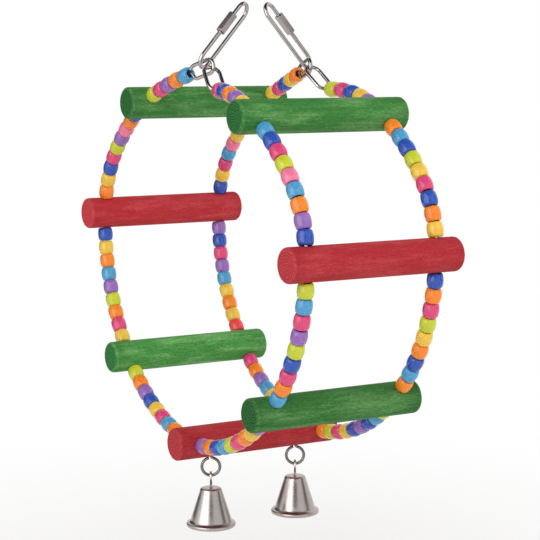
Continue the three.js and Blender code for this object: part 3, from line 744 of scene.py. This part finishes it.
def bead_strand(hand, side, place, colours, seed):
    """Beads pushed up to the perch at one end or at both."""
    perches = 1 if place.endswith("top") else 2
    pitch = BEAD_LENGTH + perches * SEAT_GAP / len(colours)
    start = strand_start(place) - (0 if place == "rear_top" else SEAT_GAP)
    stations = [start + (i + 0.5) * pitch for i in range(len(colours))]
    piece = new_piece(f"beads_{hand}_{place}", [LADDER @ wire_point(s, side) for s in stations])
    headings = [TIPPED.to_3x3() @ wire_heading(s, side) for s in stations]
    mark(piece, "heading", "FLOAT_VECTOR", "vector", headings)
    mark(piece, "tint", "FLOAT_COLOR", "color", [colour(BEAD_COLOURS[c]) for c in colours])
    grow(piece, BEAD_ROW, {
        "Length": (pitch - BEAD_PLAY) * MM, "Diameter": BEAD_DIAMETER * MM, "Bore": BEAD_BORE * MM,
        "Bulge": BEAD_BULGE * MM, "Edge": BEAD_EDGE * MM, "Looseness": BEAD_LOOSENESS,
        "Seed": seed, "Finish": acrylic})
    stand_for(piece, f"{hand}_beads_{place}")


for hoop, (hand, side) in enumerate(HANDS.items()):
    hoop_wire(hand, side)
    for number, (place, colours) in enumerate(BEADS[hand].items()):
        bead_strand(hand, side, place, colours, SEEDS_PER_HOOP * hoop + number)


# Perches

def drill(piece, start, run, diameter):
    """Bores a round hole in a piece, from a point along a run."""
    place = Matrix.Translation(start) @ run.to_track_quat("Z", "Y").to_matrix().to_4x4()
    profile = [(0, 0), (diameter / 2, 0), (diameter / 2, run.length), (0, run.length)]
    bit = turned("drill_bit", profile, DRILL_SIDES, place, piece.data.materials[0])
    hole = piece.modifiers.new("hole", "BOOLEAN")
    hole.object = bit
    settle(piece)
    bpy.data.objects.remove(bit)


def drill_perch(piece, middle, count):
    """A hole across the perch for each wire, and on the bottom perch two blind ones below for the screw
    eyes.
    """
    wire_way = TIPPED.to_3x3() @ square_to(X_AXIS, wire_heading(count * SPAN, 1))
    upward = TIPPED.to_3x3() @ Z_AXIS
    for side in HANDS.values():
        crossing = middle + X_AXIS * (side * HOOP_SPACING / 2)
        drill(piece, crossing - wire_way * PERCH_DIAMETER, wire_way * (2 * PERCH_DIAMETER),
              WIRE_DIAMETER + 2 * HOLE_CLEARANCE)
        if count == 0:
            below = middle + X_AXIS * (side * SCREW_EYE_SPACING / 2) - upward * PERCH_DIAMETER
            drill(piece, below, upward * (PERCH_RADIUS + SCREW_EYE_DEPTH + SEAT_GAP),
                  SCREW_EYE_WIRE + 2 * SEAT_GAP)


def perch(place, count, pick):
    """A dowel with rounded edges. It keeps its grain direction, and each has its own pith."""
    half, edge = PERCH_LENGTH / 2, PERCH_EDGE
    turns = [math.pi / 2 * i / PERCH_EDGE_STEPS for i in range(PERCH_EDGE_STEPS + 1)]
    rim = [(PERCH_RADIUS - edge + edge * math.sin(a), half - edge + edge * math.cos(a)) for a in turns]
    rows = range(PERCH_BANDS - 1, -PERCH_BANDS, -1)
    bands = [(PERCH_RADIUS, half * i / PERCH_BANDS) for i in rows]
    lower = [(r, -h) for r, h in reversed(rim)]
    profile = [(0, half), *rim, *bands, *lower, (0, -half)][::-1]
    middle = LADDER @ Vector((0, *wire_point(count * SPAN, 1).yz))
    lying = Matrix.Translation(middle) @ Matrix.Rotation(math.pi / 2, 4, "Y")
    finish = red_wood if count % 2 == 0 else green_wood
    piece = turned(f"perch_stick_{place}", profile, PERCH_SIDES, lying, finish)
    drill_perch(piece, middle, count)
    piece.data.set_sharp_from_angle(angle=CREASE)
    pith = Vector((
        pick.uniform(0, PITH_RUN),
        pick.uniform(-PITH_ASIDE, PITH_ASIDE),
        pick.uniform(-PITH_ASIDE, PITH_ASIDE),
    ))
    places = [vertex.co / MM - middle for vertex in piece.data.vertices]
    mark(piece, "grain", "FLOAT_VECTOR", "vector", [p + pith for p in places])
    mark(piece, "stain_tone", "FLOAT", "value", [[PERCH_TONES[place]] for _ in places])
    mark(piece, "end_grain", "FLOAT", "value", [[abs(p.x) > half - END_GRAIN_DEPTH] for p in places])
    mark(piece, "dipped", "FLOAT", "value", [[abs(p.x) > half - DIPPED_DEPTH] for p in places])
    # Painted highlight: the points on the rounded end edges, where the edge catches the light
    mark(piece, "edge_highlight", "FLOAT", "value", [
        [half - EDGE_HIGHLIGHT_TO < abs(p.x) < half - EDGE_HIGHLIGHT_FROM] for p in places])
    stand_for(piece, f"perch_{place}")


pick = random.Random(GRAIN_SEED)
for place, count in PERCHES.items():
    perch(place, count, pick)


# Quick links

LINK_HALF_WIDTH = (LINK_WIDTH - LINK_WIRE) / 2
LINK_HALF_SIDE = (LINK_LENGTH - LINK_WIRE) / 2 - LINK_HALF_WIDTH
NUT_MIDDLE = Vector((-LINK_HALF_WIDTH, 0, LINK_GATE_OFFSET))


def link_place(side):
    """The link's own frame, with its long side along Z, turned to lean inwards."""
    upward = Vector((-side * math.sin(LINK_LEAN), 0, math.cos(LINK_LEAN)))
    inward = Vector((-side * math.cos(LINK_LEAN), 0, -math.sin(LINK_LEAN)))
    normal = upward.cross(inward)
    basis = Matrix((inward, normal, upward)).transposed().to_4x4()
    top = Vector((side * LINK_TOP_SPACING / 2, 0, LINK_WIRE / 2))
    middle = top - upward * (LINK_LENGTH - LINK_WIRE) / 2
    return Matrix.Translation(middle) @ basis @ Matrix.Rotation(LINK_TWIST, 4, "Z")


def link_bow(way):
    """Points round one end of the link: way is 1 for the upper end and -1 for the lower one."""
    turns = [math.pi * i / LINK_BOW_STEPS for i in range(LINK_BOW_STEPS + 1)]
    return [
        Vector((-LINK_HALF_WIDTH * math.cos(a), 0, LINK_HALF_SIDE + LINK_HALF_WIDTH * math.sin(a))) * way
        for a in turns
    ]


def quick_link(hand, place):
    """A bent rod with a gate in one long side."""
    gate_top = Vector((-LINK_HALF_WIDTH, 0, LINK_GATE_OFFSET + LINK_GATE / 2))
    gate_foot = Vector((-LINK_HALF_WIDTH, 0, LINK_GATE_OFFSET - LINK_GATE / 2))
    points = [place @ p for p in (gate_top, *link_bow(1), *link_bow(-1), gate_foot)]
    rod = wire_piece(f"link_rod_{hand}", points, LINK_WIRE, zinc_plate, LINK_SIDES)
    stand_for(rod, f"{hand}_quick_link")


def link_thread(hand, place):
    """The crest of the thread that winds down the rod below the gate."""
    start = LINK_GATE_OFFSET - LINK_GATE / 2 - THREAD_START
    points = []
    for i in range(THREAD_TURNS * THREAD_STEPS + 1):
        angle = 2 * math.pi * i / THREAD_STEPS
        points.append(place @ Vector((
            -LINK_HALF_WIDTH + LINK_WIRE / 2 * math.cos(angle),
            LINK_WIRE / 2 * math.sin(angle),
            start - THREAD_PITCH * i / THREAD_STEPS,
        )))
    crest = wire_piece(f"link_thread_{hand}", points, THREAD_CREST, zinc_plate, THREAD_SIDES)
    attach(crest, "quick_links")


def sleeve_nut(hand, place):
    """A long hexagon nut with chamfered corners and a round bore, which slides over the gate."""
    def flats(angle):
        """How far the nearest flat lies from the nut's axis at an angle."""
        return NUT_FLATS / 2 / math.cos((angle + math.pi / 6) % (math.pi / 3) - math.pi / 6)

    corner = NUT_FLATS / math.sqrt(3)
    bore, half = LINK_WIRE / 2 + SEAT_GAP, NUT_LENGTH / 2
    profile = [(bore, -half), (corner - NUT_CHAMFER, -half), (corner, -half + NUT_CHAMFER),
               (corner, half - NUT_CHAMFER), (corner - NUT_CHAMFER, half), (bore, half)]
    over_gate = place @ Matrix.Translation(NUT_MIDDLE)
    nut = turned(f"sleeve_nut_{hand}", profile, NUT_SIDES, over_gate, satin_zinc, NUT_CREASE, flats)
    bevel = nut.modifiers.new("worn corners", "BEVEL")
    bevel.width = NUT_BEVEL * MM
    bevel.segments = NUT_BEVEL_STEPS
    settle(nut)
    stand_for(nut, f"{hand}_link_nut")


for hand, side in HANDS.items():
    link = link_place(side)
    quick_link(hand, link)
    link_thread(hand, link)
    sleeve_nut(hand, link)


# Bells. Heights are from the middle of the screw eye's ring

EYE_RING_RADIUS = (SCREW_EYE_DIAMETER - SCREW_EYE_WIRE) / 2
UPPER_LOOP_RADIUS = (HANGER_TOP_LOOP - HANGER_WIRE) / 2
UPPER_LOOP_HEIGHT = (
    -EYE_RING_RADIUS + (SCREW_EYE_WIRE + HANGER_WIRE) / 2 + SEAT_GAP - UPPER_LOOP_RADIUS
)
BELL_TOP = -SCREW_EYE_DIAMETER / 2 - HANGER_DROP
LOWER_LOOP_RADIUS = (HANGER_LOWER_LOOP - HANGER_WIRE) / 2
LOWER_LOOP_HEIGHT = BELL_TOP - BELL_WALL - SEAT_GAP - HANGER_LOWER_LOOP / 2
CLAPPER_EYE_RADIUS = (CLAPPER_EYE - CLAPPER_WIRE) / 2
CLAPPER_EYE_HEIGHT = (
    LOWER_LOOP_HEIGHT - LOWER_LOOP_RADIUS + (HANGER_WIRE + CLAPPER_WIRE) / 2 + SEAT_GAP
    - CLAPPER_EYE_RADIUS
)


def loop(radius, height, axis, bend, steps=LOOP_STEPS):
    """Points round an upright loop on the Z axis, along its bend, seen along its axis."""
    sideways = axis.cross(Z_AXIS)
    start, sweep = bend
    angles = [math.radians(start + sweep * i / steps) for i in range(steps + 1)]
    return [
        Z_AXIS * (height + radius * math.cos(a)) + sideways * (radius * math.sin(a))
        for a in angles
    ]


def bell_places(side):
    """Frames at the middle of the screw eye's ring: the tipped eye's and the upright bell's."""
    underside = wire_point(0, 1).z - PERCH_RADIUS
    middle = Vector((side * SCREW_EYE_SPACING / 2, 0, underside - SEAT_GAP - SCREW_EYE_DIAMETER / 2))
    turn = Matrix.Rotation(SCREW_EYE_TURN, 4, "Z")
    eye = LADDER @ Matrix.Translation(middle) @ turn
    normal = (eye.to_3x3() @ Y_AXIS).normalized()
    lowest = eye.translation - square_to(normal, Z_AXIS) * EYE_RING_RADIUS + Z_AXIS * EYE_RING_RADIUS
    return eye, Matrix.Translation(lowest) @ turn


def screw_eye(hand, place):
    """Wire bent into a ring below a shank that is screwed into the perch."""
    tip = Z_AXIS * (SCREW_EYE_DIAMETER / 2 + SEAT_GAP + SCREW_EYE_DEPTH - SHANK_END_GAP)
    neck = [Vector((aside, 0, EYE_RING_RADIUS + above)) for aside, above in SCREW_EYE_NECK]
    ring = loop(EYE_RING_RADIUS, 0, Y_AXIS, RING_BEND, RING_STEPS)
    points = [place @ p for p in (tip, *neck, *ring)]
    piece = wire_piece(f"screw_eye_wire_{hand}", points, SCREW_EYE_WIRE, dark_nickel)
    stand_for(piece, f"{hand}_screw_eye")


def bell_hanger(hand, place):
    """A wire with a loop at each end: one on the screw eye and one inside the bell."""
    upper = loop(UPPER_LOOP_RADIUS, UPPER_LOOP_HEIGHT, X_AXIS, STEM_BEND)
    lower = loop(LOWER_LOOP_RADIUS, LOWER_LOOP_HEIGHT, X_AXIS, END_BEND)
    points = [place @ p for p in upper + lower]
    piece = wire_piece(f"hanger_wire_{hand}", points, HANGER_WIRE, bright_nickel, HANGER_SIDES)
    stand_for(piece, f"{hand}_bell_hanger")


def bell(hand, place):
    """A spun bell: flat crown, rounded shoulder, straight sides and a rolled lip."""
    wall, hole, bend = BELL_WALL, HANGER_WIRE / 2 + SEAT_GAP, BELL_SHOULDER
    crown, waist, mouth = BELL_TOP_DIAMETER / 2, BELL_WAIST_DIAMETER / 2, BELL_MOUTH_DIAMETER / 2
    lip_top, rim_top = BELL_LIP_HEIGHT - BELL_HEIGHT, BELL_RIM_HEIGHT - BELL_HEIGHT
    spread = (mouth - waist) * BELL_FLARE_SHARE
    edge = mouth - waist - spread
    quarter = [math.radians(90 * i / BELL_CURVE_STEPS) for i in range(BELL_CURVE_STEPS + 1)]
    shoulder = [(crown - bend * (1 - math.sin(a)), -bend * (1 - math.cos(a))) for a in quarter]
    sides = [(crown + (waist - crown) * t, -bend + (lip_top + bend) * t) for t in BELL_SIDE_SHARES]
    flare = [
        (waist + spread * (1 - math.cos(a)), lip_top + (rim_top - lip_top) * math.sin(a))
        for a in quarter
    ]
    rim = [(mouth - edge * (1 - math.sin(a)), rim_top - edge * (1 - math.cos(a))) for a in quarter[1:]]
    foot = [
        (mouth - edge * (1 - math.cos(a)), -BELL_HEIGHT + edge * (1 - math.sin(a)))
        for a in quarter
    ]
    inside = [(r - wall, h - wall / 2) for r, h in reversed(sides + flare)]
    profile = [
        (hole, 0), *shoulder, *sides, *flare, *rim, *foot,
        (mouth - edge - BELL_INNER_EDGE, -BELL_HEIGHT + BELL_INNER_EDGE), *inside,
        (crown - bend, -wall), (hole, -wall),
    ]
    seat = place @ Matrix.Translation((0, 0, BELL_TOP))
    piece = turned(f"bell_cup_{hand}", profile[::-1], BELL_SIDES, seat, satin_nickel, BELL_CREASE)
    stand_for(piece, f"{hand}_bell")


def clapper(hand, place):
    """A ball on a wire with an eye, hung on the hanger's lower loop."""
    ball_height = BELL_TOP - BELL_HEIGHT + CLAPPER_INSET + CLAPPER_BALL / 2
    eye = loop(CLAPPER_EYE_RADIUS, CLAPPER_EYE_HEIGHT, Y_AXIS, STEM_BEND)
    points = [place @ p for p in eye + [Z_AXIS * ball_height]]
    stem = wire_piece(f"clapper_stem_{hand}", points, CLAPPER_WIRE, drawn_wire, CLAPPER_SIDES)
    stand_for(stem, f"{hand}_clapper")
    radius = CLAPPER_BALL / 2
    turns = [math.pi * i / BALL_STEPS for i in range(1, BALL_STEPS)]
    belly = [(radius * math.sin(a), -radius * math.cos(a)) for a in turns]
    profile = [(0, -radius), *belly, (0, radius)]
    seat = place @ Matrix.Translation((0, 0, ball_height))
    ball = turned(f"clapper_ball_{hand}", profile, BALL_SIDES, seat, satin_nickel)
    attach(ball, BODY_OF[f"{hand}_clapper"])


for hand, side in HANDS.items():
    eye_place, bell_place = bell_places(side)
    screw_eye(hand, eye_place)
    bell_hanger(hand, bell_place)
    bell(hand, bell_place)
    clapper(hand, bell_place)


# Studio, in metres

FLOOR_HEIGHT = -0.36
FLOOR_REACH = 4
LADDER_MIDDLE = Vector((0, 0, -0.14))
LIGHT_LEVEL = 0.6
WHITE = (1, 1, 1, 1)


def in_sight(tree):
    """1 for rays from the camera, a reflection or a clear piece, and 0 for rays that only light."""
    ray = add(tree, "ShaderNodeLightPath").outputs
    clear = add(tree, "ShaderNodeMath", {
        0: ray["Is Camera Ray"], 1: ray["Is Glossy Ray"]}, operation="MAXIMUM")
    return add(tree, "ShaderNodeMath", {
        0: clear.outputs[0], 1: ray["Is Transmission Ray"]}, operation="MAXIMUM").outputs[0]


def pale_paper():
    """A pale sheet that takes the shadow and runs out to plain white where it is seen."""
    made, tree, surface = material("pale_paper")
    surface.inputs["Base Color"].default_value = colour("#F6F5F3")
    surface.inputs["Roughness"].default_value = 0.9
    surface.inputs["Specular IOR Level"].default_value = 0.1
    place = add(tree, "ShaderNodeTexCoord").outputs["Object"]
    away = add(tree, "ShaderNodeVectorMath", {0: place, 1: (1, 1, 0)}, operation="MULTIPLY")
    reach = add(tree, "ShaderNodeVectorMath", {0: away.outputs[0]}, operation="LENGTH")
    fade = add(tree, "ShaderNodeMapRange", {
        "Value": reach.outputs["Value"], "From Min": 0.1, "From Max": 0.55, "To Min": 0.4},
        interpolation_type="SMOOTHSTEP")
    shown = add(tree, "ShaderNodeMath", {
        0: fade.outputs["Result"], 1: in_sight(tree)}, operation="MULTIPLY")
    glow = add(tree, "ShaderNodeEmission", {"Color": WHITE, "Strength": 1})
    run_out = add(tree, "ShaderNodeMixShader", {
        0: shown.outputs[0], 1: surface.outputs["BSDF"], 2: glow.outputs["Emission"]})
    tree.links.new(run_out.outputs["Shader"], tree.nodes["Material Output"].inputs["Surface"])
    return made


def level_corners(reach, height):
    """Corners of a level square at a height."""
    return [Vector((x * reach, y * reach, height)) for x, y in ((-1, -1), (1, -1), (1, 1), (-1, 1))]


def upright_corners(bearing, distance, width, low, high):
    """Corners of an upright board that stands at a bearing from the front, in degrees."""
    aim = math.radians(bearing)
    outward = Vector((math.sin(aim), -math.cos(aim), 0))
    along = Vector((math.cos(aim), math.sin(aim), 0)) * width / 2
    foot, head = outward * distance + Z_AXIS * low, outward * distance + Z_AXIS * high
    return [foot - along, foot + along, head + along, head - along]


def board(name, finish, corners):
    """A board round the ladder that only reflections show, as bright metal needs."""
    panel = new_piece(name, [c / MM for c in corners], faces=[(3, 2, 1, 0)])
    panel.data.materials.append(finish)
    panel.visible_camera = False
    panel.visible_diffuse = False
    panel.visible_shadow = False


def soft_light(name, place, size, power):
    """A square lamp that faces the ladder."""
    lamp = bpy.data.lights.new(name, "AREA")
    lamp.size = size
    lamp.energy = power
    light = bpy.data.objects.new(name, lamp)
    light.location = place
    light.visible_glossy = False
    light.rotation_euler = (LADDER_MIDDLE - Vector(place)).to_track_quat("-Z", "Y").to_euler()
    bpy.context.scene.collection.objects.link(light)


floor_corners = [c / MM for c in level_corners(FLOOR_REACH, FLOOR_HEIGHT)]
floor = new_piece("floor", floor_corners, faces=[(0, 1, 2, 3)])
floor.data.materials.append(pale_paper())

# Dark cloth and a white card stand round the ladder to give its metal dark and bright bands
dark_cloth, _, cloth_surface = material("dark_cloth")
cloth_surface.inputs["Base Color"].default_value = colour("#3B3836")
cloth_surface.inputs["Roughness"].default_value = 1
white_card, _, card_surface = material("white_card")
card_surface.inputs["Base Color"].default_value = WHITE
card_surface.inputs["Emission Color"].default_value = WHITE
card_surface.inputs["Emission Strength"].default_value = 2.4
board("card_left", white_card, upright_corners(bearing=-73, distance=1.0, width=1.0, low=-0.5, high=0.7))
board("flag_left", dark_cloth, upright_corners(bearing=-160, distance=0.9, width=0.9, low=-0.7, high=0.5))
board("flag_front", dark_cloth, upright_corners(bearing=-31, distance=2.0, width=1.1, low=0.15, high=0.95))
board("flag_right", dark_cloth, upright_corners(bearing=51, distance=0.9, width=0.35, low=-0.7, high=0.5))
board("flag_above", dark_cloth, level_corners(reach=0.8, height=0.8))
soft_light("key_light", place=(-0.9, -1.2, 0.9), size=0.9, power=11)
soft_light("fill_light", place=(1.1, -0.8, 0.3), size=1.0, power=5)
soft_light("rear_light", place=(0.3, 1.3, 0.8), size=0.8, power=6)

# The world is plain white where it is seen, and lights the ladder less than that
world = bpy.data.worlds.new("studio")
bpy.context.scene.world = world
world.use_nodes = True
sky = world.node_tree
strength = add(sky, "ShaderNodeMapRange", {"Value": in_sight(sky), "To Min": LIGHT_LEVEL, "To Max": 1})
sky.links.new(strength.outputs["Result"], sky.nodes["Background"].inputs["Strength"])
sky.nodes["Background"].inputs["Color"].default_value = WHITE

# Camera: fitted to the bead centres in the photograph, which is 540 pixels wide
IMAGE_WIDTH = 540
FOCAL_PIXELS = 1711.2
SENSOR_WIDTH = 36
CAMERA_AZIMUTH = math.radians(-30.69)
CAMERA_ELEVATION = math.radians(7.06)
CAMERA_DISTANCE = 1.0
CAMERA_ASIDE = 0.00743
CAMERA_ABOVE = -0.02139
back = Vector((
    math.sin(CAMERA_AZIMUTH) * math.cos(CAMERA_ELEVATION),
    -math.cos(CAMERA_AZIMUTH) * math.cos(CAMERA_ELEVATION),
    math.sin(CAMERA_ELEVATION),
))
right = Vector((math.cos(CAMERA_AZIMUTH), math.sin(CAMERA_AZIMUTH), 0))
target = LADDER.translation * MM + right * CAMERA_ASIDE + back.cross(right) * CAMERA_ABOVE
camera = bpy.data.objects.new("camera", bpy.data.cameras.new("camera"))
camera.data.sensor_width = SENSOR_WIDTH
camera.data.lens = FOCAL_PIXELS * SENSOR_WIDTH / IMAGE_WIDTH
camera.location = target + back * CAMERA_DISTANCE
camera.rotation_euler = back.to_track_quat("Z", "Y").to_euler()
bpy.context.scene.collection.objects.link(camera)
bpy.context.scene.camera = camera
bpy.context.scene.view_settings.view_transform = "Standard"

bpy.context.view_layer.update()
